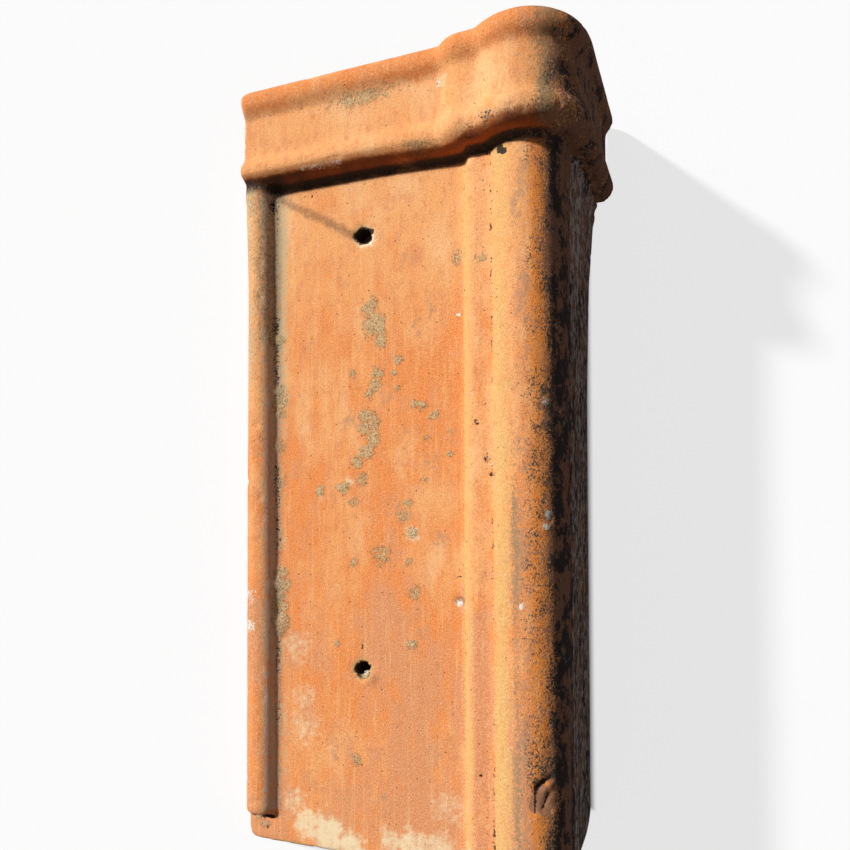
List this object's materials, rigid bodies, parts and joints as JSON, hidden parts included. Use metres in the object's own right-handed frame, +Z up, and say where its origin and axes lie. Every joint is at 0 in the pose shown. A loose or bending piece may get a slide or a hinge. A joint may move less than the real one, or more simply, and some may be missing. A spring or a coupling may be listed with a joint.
{
  "type": "clay verge roof tile",
  "caption": "L-shaped fired clay verge tile: flat wing with an edge rib, corner roll, drop flange, beaded hood and nail holes.",
  "frame": {"origin": "on the floor under the centre of the bounding box, with the tile lying on the wing's free edge and the flange's foot", "axes": "+Y along the tile from the plain end to the hood, +X across it from the wing's free edge to the flange, +Z up"},
  "size_m": [0.2284, 0.45, 0.1012],
  "materials": {
    "terracotta": "matt fired clay, weathered, with dirt and lichen"
  },
  "bodies": {
    "root": {"verge_tile": "terracotta"}
  },
  "joints": []
}
